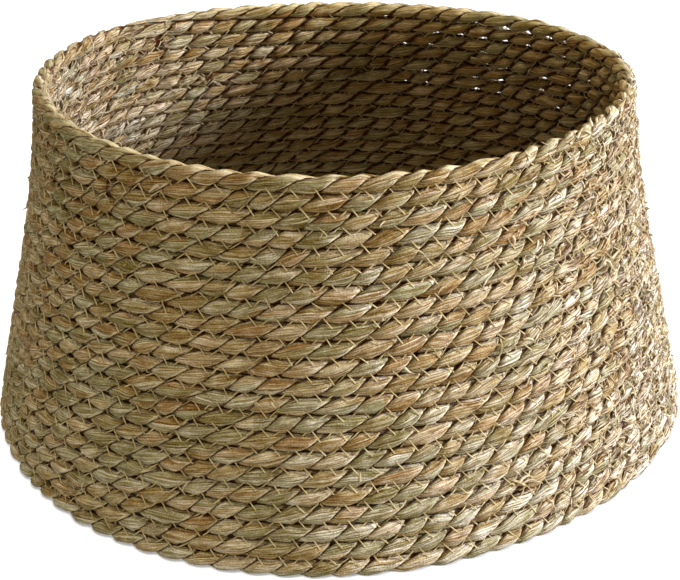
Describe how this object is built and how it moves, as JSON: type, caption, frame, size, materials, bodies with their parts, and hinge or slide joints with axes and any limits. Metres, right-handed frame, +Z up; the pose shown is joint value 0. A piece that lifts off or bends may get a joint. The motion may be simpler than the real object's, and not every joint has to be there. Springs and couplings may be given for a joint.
{
  "type": "christmas tree basket",
  "caption": "Round bottomless basket of coiled, sewn leaf rope, flared towards its foot, which stands round a tree and hides its stand.",
  "frame": {"origin": "middle of the footprint, on the plane that the foot stands on", "axes": "+Z up through the open middle, from the wide foot to the narrow rim; -Y is the side that the picture shows in front"},
  "size_m": [0.5636, 0.5848, 0.2733],
  "materials": {
    "leaf_rope": "twisted dry leaf, matt with a faint sheen along the fibres",
    "sewing_thread": "thin straw-coloured thread"
  },
  "bodies": {
    "root": {"foot_rope": "leaf_rope", "wall_rope": "leaf_rope", "rim_rope": "leaf_rope", "outer_thread": "sewing_thread", "inner_thread": "sewing_thread"}
  },
  "joints": []
}
